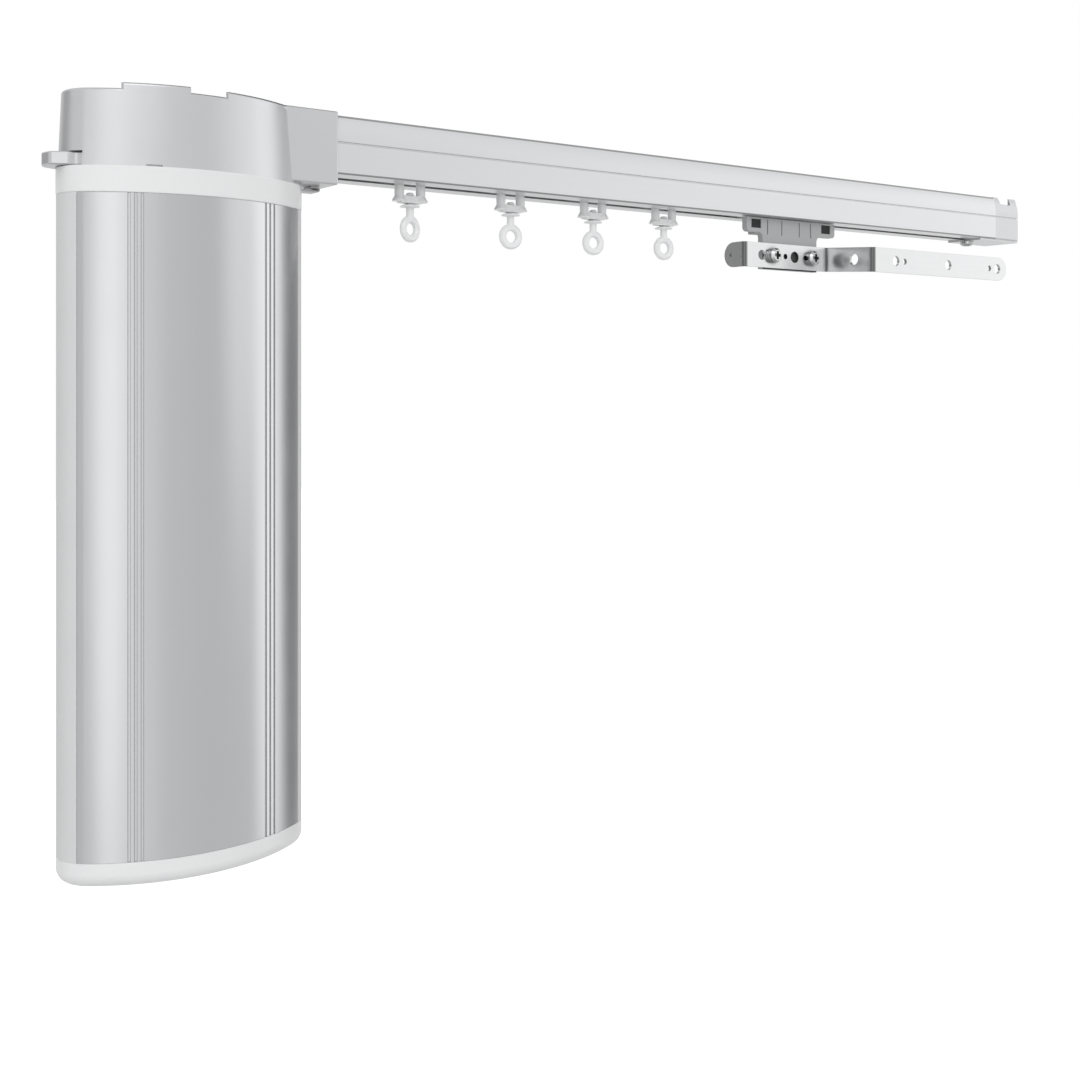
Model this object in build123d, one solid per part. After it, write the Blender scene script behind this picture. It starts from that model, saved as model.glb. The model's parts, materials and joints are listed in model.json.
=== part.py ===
from build123d import *
import math
import os

# Electric curtain track, in millimetres. X runs along the track, Y to its back, Z up.
# The origin is on the track's top face, in the middle of its bracket channel, at the mouth of the sleeve.

# Gaps and overruns that all pieces share
cut_over = 1.0
slip = 0.1
run_gap = 0.3
shaft_gap = 0.05

# Track extrusion
track_length = 480.0
track_in_sleeve = 18.0
track_half_width = 13.5
track_height = 26.0
track_top_half = 11.2
track_bulge_depth = 9.4
track_bulge = 0.45
track_edge_radius = 0.8
track_groove_depth = 12.1
track_groove_width = 0.7
track_groove_cut = 0.6
track_wall = 1.5
bracket_lip = 1.4
bracket_mouth_half = 6.5
bracket_top_half = 9.4
bracket_floor_half = 10.4
bracket_depth = 6.4
track_web = 1.2
belt_room = 8.6
belt_rib = 1.0
belt_rib_half = 7.4
runner_lip = 1.6
runner_slot_half = 2.9

# Motor casing: an oval of four arcs, its long axis along the track
motor_x = -65.2
motor_y = -1.0
motor_half_width = 52.2
motor_half_depth = 27.6
motor_side_radius = 15.35
cover_height = 263.0
cover_wall = 1.8
cover_seam = 10.2
cover_seam_gap = 0.25
cover_lip = 1.4
cover_lip_reach = 3.0
flute_inner = 25.9
flute_pitch = 2.35
flute_width = 1.0
flute_cut = 0.7
flutes_a_side = 3
collar_height = 10.5
collar_proud = 0.2
collar_wall = 3.0
collar_edge_radius = 0.5
collar_slit = 0.5
spigot_height = 6.0
spigot_wall = 1.6
cap_height = 10.2
cap_edge_radius = 5.6
cap_wall = 2.6

# Pulley head and its sleeve
head_height = 30.8
head_step = 2.4
head_inset = 0.6
head_wall = 2.3
head_rim = 2.2
head_draft_share = 0.045
head_edge_radius = 1.2
head_base = 2.5
raised_left = -32.3
raised_notch_left = -7.2
raised_notch_right = 8.8
pry_slot_left = -24.8
pry_slot_width = 6.0
pry_slot_height = 0.8
pry_slot_depth = 1.6
sleeve_top = 1.0
sleeve_half_width = 14.8
sleeve_below_track = 5.0
sleeve_overlap = 30.0
sleeve_edge_radius = 0.9
belt_way_half = 11.2
head_boss_radius = 3.2
head_boss_right = 8.0
head_boss_left = -24.0
head_boss_right_y = 19.4
head_boss_left_y = 14.6

# Belt drive
belt_height = 6.9
belt_thickness = 1.4
belt_half_spacing = 8.5
belt_above_rib = 0.4
drive_radius = 14.0
drive_flange = 2.5
drive_flange_height = 0.9
drive_teeth = 24
drive_tooth_gap = 1.8
drive_tooth_depth = 0.9
drive_shaft_radius = 4.0
shaft_in_gearbox = 9.0
bearing_wall = 3.0
bearing_height = 3.4
lower_bearing_height = 4.0
idler_radius = 3.5
idler_x = -40.0
idler_pin_radius = 1.5
idler_boss_radius = 3.0
end_pulley_radius = 7.5
end_pulley_x = 10.0
end_pulley_flange = 0.8
end_axle_radius = 1.5
end_axle_seat = 2.4

# Lock lever of the head
lever_pivot_x = -28.0
lever_reach = 30.2
lever_hub_side_shares = ((0.0, -0.185), (-0.39, -0.35), (-0.49, -0.385))
lever_tab_shares = (
    (-0.56, -0.365), (-0.65, -0.285), (-0.75, -0.278), (-0.956, -0.16), (-1.0, 0.015),
    (-0.95, 0.17), (-0.72, 0.27),
)
lever_back_shares = ((-0.44, 0.275), (0.0, 0.175))
lever_corner_radius = 2.8
lever_edge_chamfer = 0.5
lever_thickness = 5.3
lever_inner_radius = 14.5
lever_hub_radius = 5.6
lever_hub_height = 5.0
lever_pin_radius = 2.0
lever_pin_head_radius = 3.5
lever_pin_head = 1.2
lever_slot_front = 12.1
lever_slot_right = -31.0
lever_slot_height = 5.9

# Spring clip under the sleeve
clip_gap_to_collar = 0.8
clip_length = 9.0
clip_half_width = 3.5
clip_sheet = 0.7
clip_opening = 0.9

# Inside the motor casing
bulkhead = 2.4
bulkhead_gap = 0.3
middle_bulkhead_share = 0.41
chassis_bar_x = 42.0
chassis_bar_width = 6.0
chassis_bar_half_depth = 6.0
gearbox_flange_radius = 22.0
gearbox_flange = 3.0
gearbox_radius = 20.0
gearbox_share = 0.16
motor_can_radius = 18.0
motor_can_share = 0.418
motor_boss_radius = 7.0
motor_boss_height = 5.0
shaft_hole_radius = 9.0
board_x = 27.0
board_sheet = 1.6
board_half_width = 14.0
board_share = 0.52
relay_depth = 8.5
relay_half_width = 8.0
relay_height = 15.0
relay_shares = (0.15, 0.34, 0.53)
module_x = -22.0
module_half_width = 12.0
module_half_depth = 13.0
module_share = 0.266

# Sockets, button and lens in the bottom cap
inlet_x = -22.0
inlet_half_width = 12.0
inlet_half_depth = 8.0
inlet_height = 20.0
inlet_room_half_width = 9.5
inlet_room_half_depth = 5.5
inlet_room = 9.8
inlet_pin_radius = 1.2
inlet_pin_length = 7.8
inlet_pin_root = 4.0
inlet_pin_spacing = 8.6
jack_x = 2.0
jack_half_width = 7.5
jack_half_depth = 6.5
jack_height = 15.0
jack_room_half_width = 5.6
jack_room_half_depth = 3.6
jack_room = 9.0
jack_contacts = 4
jack_contact_pitch = 1.8
jack_contact_width = 0.8
jack_contact_sheet = 0.4
jack_contact_length = 7.0
socket_flange = 1.6
socket_flange_height = 2.0
button_x = 22.0
button_radius = 3.2
button_flange_radius = 4.4
button_flange = 1.0
button_proud = 0.4
button_length = 5.2
button_travel = 1.0
button_rest_gap = 0.2
lens_x = 31.0
lens_radius = 1.5
lens_proud = 0.15
lens_length = 5.0
lens_flange_radius = 2.4
lens_flange = 1.0
small_board_half_width = 11.0
small_board_half_depth = 10.0
small_board_x = 24.0
post_radius = 2.0
post_x = 8.0
post_y = 7.0
switch_half = 3.0
switch_height = 1.8
switch_plunger_radius = 1.6
switch_plunger = 0.8
cap_screw_x = 42.0
cap_screw_post_radius = 4.4

# Screws
small_shank_radius = 1.5
small_head_radius = 2.8
small_head_height = 2.0
cap_screw_shank = 20.0
head_screw_shank = 10.0
big_shank_radius = 2.0
big_head_radius = 4.0
big_head_height = 2.8
head_dome_share = 0.4
head_edge_share = 0.15
cross_reach_share = 0.55
cross_width_share = 0.2
cross_depth_share = 0.6
washer_radius = 3.9
washer_height = 1.1
washer_gap = 0.5
arm_screw_shank = 9.0
end_screw_shank = 7.0
clamp_screw_shank = 6.0

# Gliders and their swivelling eyelets
glider_x = (44.9, 101.6, 152.5, 199.6)
glider_post_half_spacing = 5.7
glider_post_radius = 2.2
glider_post_drop = 7.6
glider_flare_radius = 3.45
glider_flare_height = 2.7
glider_flare_lip = 0.4
glider_head_radius = 4.6
glider_head_height = 2.0
glider_head_dome = 0.9
glider_bridge_height = 3.4
glider_bridge_half_depth = 2.1
glider_bridge_above = 0.6
eyelet_turn = (15.0, -5.0, -5.0, -5.0)
eyelet_stem_radius = 1.25
eyelet_head_radius = 2.0
eyelet_head_height = 1.2
eyelet_flange_radius = 4.6
eyelet_flange_edge = 0.4
eyelet_flange_cone = 0.9
eyelet_neck_radius = 1.8
eyelet_centre_drop = 20.0
eyelet_ring_radius = 6.1
eyelet_hole_radius = 2.9
eyelet_ring_thickness = 3.0
eyelet_outer_chamfer = 0.9
eyelet_inner_chamfer = 0.7

# Master carrier
carrier_left = 250.8
carrier_length = 68.8
carrier_block_height = 7.9
carrier_half_depth = 9.5
carrier_plate = 3.6
carrier_body_inset = 14.0
carrier_body_back = 4.0
carrier_boss_radius = 4.2
carrier_boss_length = 5.0
carrier_shoulder_left = 11.9
carrier_shoulder_right = 14.7
carrier_neck_height = 20.0
carrier_outer_round = 2.2
carrier_inner_round = 3.0
carrier_stem_half = 2.4
carrier_shoe_half = 5.0
carrier_shoe_inset = 4.0
carrier_post_length = 20.0
carrier_post_half = 4.4
pad_inset = 3.4
pad_length = 7.4
pad_height = 4.8
pad_depth = 2.6
pad_drop = 1.0
pad_recess = 0.5
panel_groove_shares = (0.09, 0.35, 0.675, 0.886)
panel_groove_width = 0.8
panel_groove_depth = 0.9
panel_groove_length = 8.0
roller_radius = 2.8
roller_width = 4.2
roller_inner = 5.5
roller_axle_radius = 1.2
roller_inset = 11.0
clamp_length = 16.0
clamp_top = 0.9
clamp_jaw = 1.3

# Steel arm of the carrier
arm_sheet = 1.6
arm_height = 13.5
arm_top = 40.1
arm_left_reach = 36.6
arm_bend_reach = 28.8
arm_offset = 33.9
arm_drop = 2.1
arm_bar_length = 116.0
arm_tab = 15.3
arm_bend_radius = 3.0
arm_tab_hole_radius = 0.9
arm_tab_hole_y = -0.8
arm_wing_hole_radius = 3.1
arm_wing_hole_y = -31.5
arm_screw_half_pitch = 15.0
arm_plate_holes = ((-23.3, 2.65), (-5.2, 1.5), (2.0, 3.1), (10.4, 1.5))
arm_row_offset = 17.6
arm_row_pitch = 45.0
arm_row_count = 3
arm_row_radius = 2.8
arm_small_radius = 1.6
arm_small_offset = 7.4

# End pulley housing
end_length = 22.1
end_prong = 4.6
end_prong_slope = 1.2
end_notch = 9.8
end_notch_depth = 3.9
end_prong_depth = 3.0
end_proud = 0.3
end_tongue = 17.0
end_plate = 14.0
end_plate_sheet = 1.2
end_plate_half = 12.2
end_nub = 1.4
end_nub_height = 1.6
end_screw_inset = 11.5
end_wall = 2.8


# Heights that follow from the sizes above
head_top = sleeve_top
head_low_top = head_top - head_step
head_bottom = head_low_top - head_height
collar_bottom = head_bottom - collar_height
cover_bottom = collar_bottom - cover_height
cap_bottom = cover_bottom - cap_height
base_top = head_bottom + head_base
head_room_top = head_low_top - head_wall
web_bottom = -(bracket_depth + track_web)
rib_top = web_bottom - belt_room
rib_bottom = rib_top - belt_rib
runner_floor = -track_height + runner_lip
belt_bottom = rib_top + belt_above_rib
belt_top = belt_bottom + belt_height
belt_half = belt_thickness / 2
idler_y = belt_half_spacing + belt_half + run_gap + idler_radius
track_end = track_length - track_in_sleeve
collar_floor = head_bottom - collar_wall
inner_top = collar_bottom - spigot_height
inner_bottom = cover_bottom + spigot_height
cap_floor = cap_bottom + cap_wall
middle_bulkhead_depth = cover_height * middle_bulkhead_share
gearbox_height = cover_height * gearbox_share
motor_can_height = cover_height * motor_can_share
board_height = cover_height * board_share
module_height = cover_height * module_share
arm_front = -(carrier_half_depth + arm_sheet)
arm_centre = carrier_left + (carrier_length + carrier_shoulder_left - carrier_shoulder_right) / 2
arm_left = arm_centre - arm_left_reach
arm_bend_x = arm_centre + arm_bend_reach
arm_end = arm_bend_x + arm_bar_length
arm_row_start = arm_bend_x + arm_row_offset
arm_screw_x = (arm_centre - arm_screw_half_pitch, arm_centre + arm_screw_half_pitch)
sleeve_bottom = -track_height - sleeve_below_track


def block(xs, ys, zs):
    """A box from its lowest to its highest value along each axis."""
    spans = (xs, ys, zs)
    middle = [(low + high) / 2 for low, high in spans]
    return Pos(*middle) * Box(*[high - low for low, high in spans])


def upright(radius, low, high, x=0, y=0):
    """A vertical cylinder."""
    return Pos(x, y, (low + high) / 2) * Cylinder(radius, high - low)


def crosswise(radius, front, back, x, z):
    """A cylinder along Y."""
    return Pos(x, (front + back) / 2, z) * Rot(90, 0, 0) * Cylinder(radius, back - front)


def lengthwise(radius, left, right, y, z):
    """A cylinder along X."""
    return Pos((left + right) / 2, y, z) * Rot(0, 90, 0) * Cylinder(radius, right - left)


def oval(inset):
    """The casing's oval, drawn inwards: front and back arcs meet tighter side arcs in tangent."""
    half_width, half_depth = motor_half_width - inset, motor_half_depth - inset
    side = motor_side_radius - inset
    across, along = half_width - side, half_depth - side
    turn = 2 * math.atan2(along, across)
    join_x = across + side * math.sin(turn)
    join_y = side * math.cos(turn)
    outline = ThreePointArc((-join_x, -join_y), (0, -half_depth), (join_x, -join_y))
    outline += ThreePointArc((join_x, -join_y), (half_width, 0), (join_x, join_y))
    outline += ThreePointArc((join_x, join_y), (0, half_depth), (-join_x, join_y))
    outline += ThreePointArc((-join_x, join_y), (-half_width, 0), (-join_x, -join_y))
    return make_face(outline)


def oval_block(inset, low, high):
    """A solid of the casing's oval between two heights."""
    return Pos(motor_x, motor_y, low) * extrude(oval(inset), high - low)


def drafted_oval(inset, low, high):
    """The same, drawing in towards its top."""
    draft = math.degrees(math.atan(head_draft_share))
    return Pos(motor_x, motor_y, low) * extrude(oval(inset), high - low, taper=draft)


def oval_ring(inset, wall, low, high):
    """A wall that follows the casing's oval."""
    return oval_block(inset, low, high) - oval_block(inset + wall, low - cut_over, high + cut_over)


def crossed(head, head_radius, head_height):
    """A screw head with a cross cut into its outer face."""
    reach, width = head_radius * cross_reach_share, head_radius * cross_width_share
    depth = head_height * cross_depth_share
    for arm in ((reach, width), (width, reach)):
        head -= block((-arm[0], arm[0]), (-arm[1], arm[1]), (-head_height - cut_over, depth - head_height))
    return head


def small_screw(shank):
    """A cheese head screw, its seat at the origin and its shank along +Z."""
    head = upright(small_head_radius, -small_head_height, 0)
    head = chamfer(head.edges().group_by(Axis.Z)[0], small_head_height * head_edge_share)
    return crossed(head, small_head_radius, small_head_height) + upright(small_shank_radius, 0, shank)


def big_screw(shank):
    """A pan head screw, its seat at the origin and its shank along +Z."""
    head = upright(big_head_radius, -big_head_height, 0)
    head = chamfer(head.edges().group_by(Axis.Z)[0], big_head_height * head_dome_share)
    return crossed(head, big_head_radius, big_head_height) + upright(big_shank_radius, 0, shank)


def split_washer():
    """A spring washer on the origin along +Z, with its split."""
    ring = Cylinder(washer_radius, washer_height) - Cylinder(big_shank_radius + slip, washer_height + cut_over)
    split = block((0, washer_radius + cut_over), (-washer_gap / 2, washer_gap / 2), (-washer_height, washer_height))
    return Pos(0, 0, washer_height / 2) * (ring - split)


# Track


def track_outline():
    """The track's outer section: a bulged upper face over a thin groove and a flat lower face."""
    chord_x = (track_top_half + track_half_width) / 2 + track_bulge
    low = -track_height
    side = Line((0, 0), (track_top_half, 0))
    side += ThreePointArc(
        (track_top_half, 0), (chord_x, -track_bulge_depth / 2), (track_half_width, -track_bulge_depth)
    )
    side += Line((track_half_width, -track_bulge_depth), (track_half_width, low))
    side += Line((track_half_width, low), (0, low))
    outline = make_face(side + mirror(side, Plane.YZ))
    corners = outline.vertices().group_by(Axis.Y)[0]
    outline = fillet(corners, track_edge_radius)
    for edge in (-track_half_width, track_half_width):
        outline -= Pos(edge, -track_groove_depth) * Rectangle(2 * track_groove_cut, track_groove_width)
    return outline


def track_section():
    """The extrusion's section, with its bracket channel, belt room, runner room and slot."""
    room_half = track_half_width - track_wall
    mouth = Pos(0, -bracket_lip / 2) * Rectangle(2 * bracket_mouth_half, bracket_lip + cut_over)
    channel = make_face(Polyline(
        (-bracket_top_half, -bracket_lip), (bracket_top_half, -bracket_lip),
        (bracket_floor_half, -bracket_depth), (-bracket_floor_half, -bracket_depth), close=True,
    ))
    room = Pos(0, (web_bottom + runner_floor) / 2) * Rectangle(2 * room_half, web_bottom - runner_floor)
    slot = Pos(0, runner_floor - runner_lip / 2) * Rectangle(2 * runner_slot_half, runner_lip + cut_over)
    section = track_outline() - mouth - channel - room - slot
    rib = room_half - belt_rib_half
    for side in (-1, 1):
        middle = side * (belt_rib_half + rib / 2)
        section += Pos(middle, (rib_top + rib_bottom) / 2) * Rectangle(rib, belt_rib)
    return section


def track_profile():
    return Pos(-track_in_sleeve, 0, 0) * extrude(Plane.YZ * track_section(), track_length)


# Pulley head


def boss_places():
    """Centres of the head's four screw bosses."""
    right, left = motor_x + head_boss_right, motor_x + head_boss_left
    for side in (-1, 1):
        yield right, motor_y + side * head_boss_right_y
        yield left, motor_y + side * head_boss_left_y


def head_shell():
    """The head's outer form: the oval with a raised and notched rim, and the square sleeve."""
    low = drafted_oval(head_inset, head_bottom, head_low_top)
    low = fillet(low.edges().group_by(Axis.Z)[-1], head_edge_radius)
    high = drafted_oval(head_inset, head_bottom, head_top)
    high = fillet(high.edges().group_by(Axis.Z)[-1], head_edge_radius)
    depth = (motor_y - motor_half_depth, motor_y + motor_half_depth)
    raised = block((motor_x + raised_left, motor_x + raised_notch_left), depth, (head_bottom, head_top))
    raised += block((motor_x + raised_notch_right, 0), depth, (head_bottom, head_top))
    raised -= drafted_oval(head_inset + head_rim, head_bottom, head_top + cut_over)
    sleeve = block(
        (-sleeve_overlap, 0), (-sleeve_half_width, sleeve_half_width), (sleeve_bottom, sleeve_top)
    )
    sleeve = fillet(sleeve.edges().filter_by(Axis.X) + sleeve.edges().group_by(Axis.X)[-1], sleeve_edge_radius)
    return low + (high & raised) + sleeve


def head_housing():
    """The hollow moulding that holds the drive pulley and grips the track in its sleeve."""
    wall = head_inset + head_wall
    shell = head_shell() - drafted_oval(wall, head_bottom, head_room_top)
    track_half = track_half_width + slip
    shell -= block(
        (-track_in_sleeve, cut_over), (-track_half, track_half), (-track_height - slip, slip)
    )
    way = motor_x + motor_half_width - wall - motor_side_radius
    shell -= block((way, 0), (-belt_way_half, belt_way_half), (rib_bottom, web_bottom + run_gap))
    boss_top = head_room_top + slip
    for x, y in boss_places():
        shell += upright(head_boss_radius, base_top, boss_top, x, y)
        shell -= upright(small_shank_radius + slip, base_top - cut_over, base_top + head_screw_shank, x, y)
    collar = bearing_wall + drive_shaft_radius + 2 * shaft_gap
    shell += upright(collar + head_wall, head_room_top - bearing_height, boss_top, motor_x, 0)
    shell -= upright(collar, head_room_top - bearing_height - cut_over, head_room_top, motor_x, 0)
    shell -= lever_slot()
    pry_left = motor_x + pry_slot_left
    front = motor_y - motor_half_depth
    pry = block(
        (pry_left, pry_left + pry_slot_width), (front, front + motor_side_radius / 2),
        (head_bottom - cut_over, head_bottom + pry_slot_height),
    )
    return shell - (pry - oval_block(head_inset + pry_slot_depth, head_bottom - cut_over, head_top))


def lever_slot():
    """The cut in the head's left wall in which the lock lever swings."""
    return block(
        (motor_x - motor_half_width - cut_over, motor_x + lever_slot_right),
        (-lever_slot_front, motor_half_depth),
        (head_bottom - cut_over, head_bottom + lever_slot_height),
    )


def head_base_plate():
    """The head's floor, with bosses for the idler pins and seats for the lower bearing and lever pin."""
    plate = oval_block(head_inset + head_wall + slip, head_bottom, base_top)
    boss_top = belt_bottom - run_gap - belt_above_rib
    for side in (-1, 1):
        plate += upright(idler_boss_radius, base_top, boss_top, idler_x, side * idler_y)
        plate -= upright(idler_pin_radius + slip, base_top, boss_top + cut_over, idler_x, side * idler_y)
    bearing = drive_shaft_radius + bearing_wall + 2 * shaft_gap
    plate -= upright(bearing, head_bottom - cut_over, base_top + cut_over, motor_x, 0)
    for x, y in boss_places():
        plate -= upright(small_shank_radius + slip, head_bottom - cut_over, base_top + cut_over, x, y)
        plate -= upright(small_head_radius + slip, head_bottom - cut_over, head_bottom + small_head_height, x, y)
    pivot = motor_x + lever_pivot_x
    sweep = upright(lever_reach, head_bottom - cut_over, base_top + cut_over, pivot, 0)
    sweep -= upright(lever_inner_radius - run_gap, head_bottom - cut_over, base_top + cut_over, pivot, 0)
    plate -= sweep & lever_slot()
    return plate - upright(lever_pin_radius + slip, head_bottom - cut_over, base_top + cut_over, pivot, 0)


def head_screws():
    return [Pos(x, y, head_bottom + small_head_height) * small_screw(head_screw_shank) for x, y in boss_places()]


def bearing(low, height):
    """A plain bush round the output shaft."""
    outer = drive_shaft_radius + shaft_gap + bearing_wall
    ring = upright(outer, low, low + height, motor_x, 0)
    return ring - upright(drive_shaft_radius + shaft_gap, low - cut_over, low + height + cut_over, motor_x, 0)


def lock_lever():
    """The lever: a thumb tab outside the head, and an arm to its raised hub on the pivot pin."""
    pivot = motor_x + lever_pivot_x
    shares = lever_hub_side_shares + lever_tab_shares + lever_back_shares
    plan = make_face(Polyline(*[(x * lever_reach, y * lever_reach) for x, y in shares], close=True))
    tab_start = max(x for x, y in lever_tab_shares) * lever_reach + slip
    plan = fillet([corner for corner in plan.vertices() if corner.X < tab_start], lever_corner_radius)
    bottom = head_bottom + run_gap
    top = bottom + lever_thickness
    tab = Pos(pivot, 0, bottom) * extrude(plan, lever_thickness)
    rims = tab.edges().group_by(Axis.Z)
    tab = chamfer(rims[0] + rims[-1], lever_edge_chamfer)
    tab -= upright(lever_inner_radius, bottom - cut_over, base_top + run_gap, pivot, 0)
    hub = upright(lever_hub_radius, base_top + run_gap, base_top + run_gap + lever_hub_height, pivot, 0)
    bore = upright(lever_pin_radius + shaft_gap, bottom, top + lever_hub_height, pivot, 0)
    return tab + hub - bore


def lever_pin():
    """The lever's pivot, headed over the hub."""
    pivot = motor_x + lever_pivot_x
    under_head = base_top + 2 * run_gap + lever_hub_height
    pin = upright(lever_pin_radius, head_bottom, under_head, pivot, 0)
    return pin + upright(lever_pin_head_radius, under_head, under_head + lever_pin_head, pivot, 0)


def sleeve_clip():
    """A bent leaf spring under the sleeve, its lower leaf towards the collar."""
    left = motor_x + motor_half_width + clip_gap_to_collar
    right = left + clip_length
    drop = sleeve_bottom - 2 * clip_sheet - clip_opening
    outer = (clip_opening + 2 * clip_sheet) / 2
    middle = (sleeve_bottom + drop) / 2
    depth = (-clip_half_width, clip_half_width)
    bend = right - outer
    clip = block((left + clip_length / 2, bend), depth, (sleeve_bottom - clip_sheet, sleeve_bottom))
    clip += block((left, bend), depth, (drop, drop + clip_sheet))
    curl = crosswise(outer, *depth, bend, middle) - crosswise(clip_opening / 2, *depth, bend, middle)
    return clip + (curl & block((bend, right), depth, (drop, sleeve_bottom)))


# Belt drive


def belt_outline(offset):
    """The belt's loop, drawn outwards by an offset: drive pulley, two idlers and end pulley."""
    drive = drive_radius + run_gap + belt_half + offset
    idler = idler_radius + run_gap + belt_half - offset
    run = belt_half_spacing + offset
    end_x = track_end + end_pulley_x
    apart_x = idler_x - motor_x
    lean = math.atan2(idler_y, apart_x) + math.acos((drive + idler) / math.hypot(apart_x, idler_y))
    leave = (motor_x + drive * math.cos(lean), drive * math.sin(lean))
    meet = (idler_x - idler * math.cos(lean), idler_y - idler * math.sin(lean))
    half_lean = (lean + math.pi / 2) / 2
    turn = (idler_x - idler * math.cos(half_lean), idler_y - idler * math.sin(half_lean))
    side = Line(leave, meet)
    side += ThreePointArc(meet, turn, (idler_x, run))
    side += Line((idler_x, run), (end_x, run))
    loop = side + mirror(side, Plane.XZ)
    loop += ThreePointArc((end_x, run), (end_x + run, 0), (end_x, -run))
    loop += ThreePointArc(leave, (motor_x - drive, 0), (leave[0], -leave[1]))
    return make_face(loop)


def drive_belt():
    band = belt_outline(belt_half) - belt_outline(-belt_half)
    return Pos(0, 0, belt_bottom) * extrude(band, belt_height)


def drive_pulley():
    """The toothed pulley between two flanges, on the output shaft."""
    low, high = belt_bottom - run_gap, belt_top + run_gap
    wheel = upright(drive_radius, low, high, motor_x, 0)
    for tooth in range(drive_teeth):
        angle = 360 * tooth / drive_teeth
        gap = block(
            (drive_radius - drive_tooth_depth, drive_radius + cut_over),
            (-drive_tooth_gap / 2, drive_tooth_gap / 2), (low - cut_over, high + cut_over),
        )
        wheel -= Pos(motor_x, 0, 0) * Rot(0, 0, angle) * gap
    flange = drive_radius + drive_flange
    wheel += upright(flange, low - drive_flange_height, low, motor_x, 0)
    wheel += upright(flange, high, high + drive_flange_height, motor_x, 0)
    bore = drive_shaft_radius + shaft_gap
    return wheel - upright(bore, low - flange, high + flange, motor_x, 0)


def output_shaft():
    """The shaft from the gearbox up through both bearings."""
    foot = inner_top - bulkhead - shaft_in_gearbox
    return upright(drive_shaft_radius, foot, head_room_top - shaft_gap, motor_x, 0)


def idler(side):
    """A small roller that turns the belt from the pulley into the track."""
    low, high = belt_bottom - belt_above_rib, belt_top + belt_above_rib
    roller = upright(idler_radius, low, high, idler_x, side * idler_y)
    return roller - upright(idler_pin_radius + shaft_gap, low - cut_over, high + cut_over, idler_x, side * idler_y)


def idler_pins():
    return [upright(idler_pin_radius, base_top, head_room_top, idler_x, side * idler_y) for side in (-1, 1)]


def end_pulley():
    """The plain pulley that turns the belt at the track's end, with flanges inside the belt's height."""
    x = track_end + end_pulley_x
    low, high = rib_bottom + run_gap, web_bottom - run_gap
    wheel = upright(end_pulley_radius, low, high, x, 0)
    return wheel - upright(end_axle_radius + shaft_gap, low - cut_over, high + cut_over, x, 0)


def end_pulley_axle():
    x = track_end + end_pulley_x
    return upright(end_axle_radius, rib_bottom - end_axle_seat, web_bottom + end_axle_seat, x, 0)


def end_notch_profile():
    """The gap between the housing's two prongs, its near side sloped."""
    left, high = track_end + end_prong, end_proud + cut_over
    floor, right = -end_notch_depth, left + end_prong_slope + end_notch
    return make_face(Polyline(
        (left, high), (left, 0), (left + end_prong_slope, floor), (right, floor), (right, high), close=True
    ))


def end_pulley_housing():
    """The moulding at the track's end: body with a notched top, tongue in the track, plate below it."""
    end = track_end + end_length
    body = Pos(track_end, 0, 0) * extrude(Plane.YZ * track_outline(), end_length)
    body += block(
        (track_end, end), (-track_top_half, track_top_half), (-track_bulge_depth, end_proud)
    )
    notch = extrude(Plane.XZ * end_notch_profile(), 2 * track_half_width, both=True)
    body -= notch
    between = track_half_width - end_prong_depth
    outer_x = (track_end + end_prong + end_prong_slope, end + cut_over)
    body -= block(outer_x, (-between, between), (-end_notch_depth, end_proud + cut_over))
    axle_x = track_end + end_pulley_x
    room_half = belt_half_spacing + belt_half + 2 * run_gap
    room = block((track_end - cut_over, axle_x), (-room_half, room_half), (rib_bottom, web_bottom))
    room += upright(room_half, rib_bottom, web_bottom, axle_x, 0)
    body -= room
    body -= upright(end_axle_radius + slip, rib_bottom - end_axle_seat, web_bottom + end_axle_seat, axle_x, 0)
    tongue_half = track_half_width - track_wall - slip
    tongue_x = (track_end - end_tongue, track_end)
    body += block(tongue_x, (-tongue_half, tongue_half), (runner_floor + slip, rib_bottom - slip))
    plate_x = (track_end - end_plate, end + end_nub)
    plate_z = (-track_height - end_plate_sheet, -track_height)
    body += block(plate_x, (-end_plate_half, end_plate_half), plate_z)
    body += block((end, end + end_nub), (-end_plate_half, end_plate_half), (plate_z[0], plate_z[0] + end_nub_height))
    hole = upright(big_shank_radius + slip, plate_z[0] - cut_over, rib_bottom, track_end - end_screw_inset, 0)
    return body - hole


def end_screw():
    seat = -track_height - end_plate_sheet
    return Pos(track_end - end_screw_inset, 0, seat) * big_screw(end_screw_shank)


# Motor casing


def seam_side(front):
    """The half space before or behind the seam between the two covers."""
    seam = motor_y - cover_seam
    far = motor_half_depth + motor_half_width
    ys = (seam - far, seam - cover_seam_gap / 2) if front else (seam + cover_seam_gap / 2, seam + far)
    return block((motor_x - far, motor_x + far), ys, (cap_bottom, head_bottom))


def motor_cover():
    """The aluminium front cover with its two groups of flutes."""
    cover = oval_ring(0, cover_wall, cover_bottom, collar_bottom) & seam_side(True)
    across = motor_half_width - motor_side_radius
    along = motor_half_depth - motor_side_radius
    turn = 2 * math.atan2(along, across)
    centre = across / math.sin(turn)
    radius = motor_side_radius + centre
    centre_y = motor_y + radius - motor_half_depth
    for flute in range(flutes_a_side):
        place = flute_inner + flute * flute_pitch + flute_width / 2
        angle = math.degrees(math.asin(place / radius))
        for side in (-1, 1):
            middle = (cover_bottom + collar_bottom) / 2
            cut = Pos(0, -radius, 0) * Box(flute_width, 2 * flute_cut, cover_height + cut_over)
            cover -= Pos(motor_x, centre_y, middle) * Rot(0, 0, side * angle) * cut
    return cover


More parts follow.
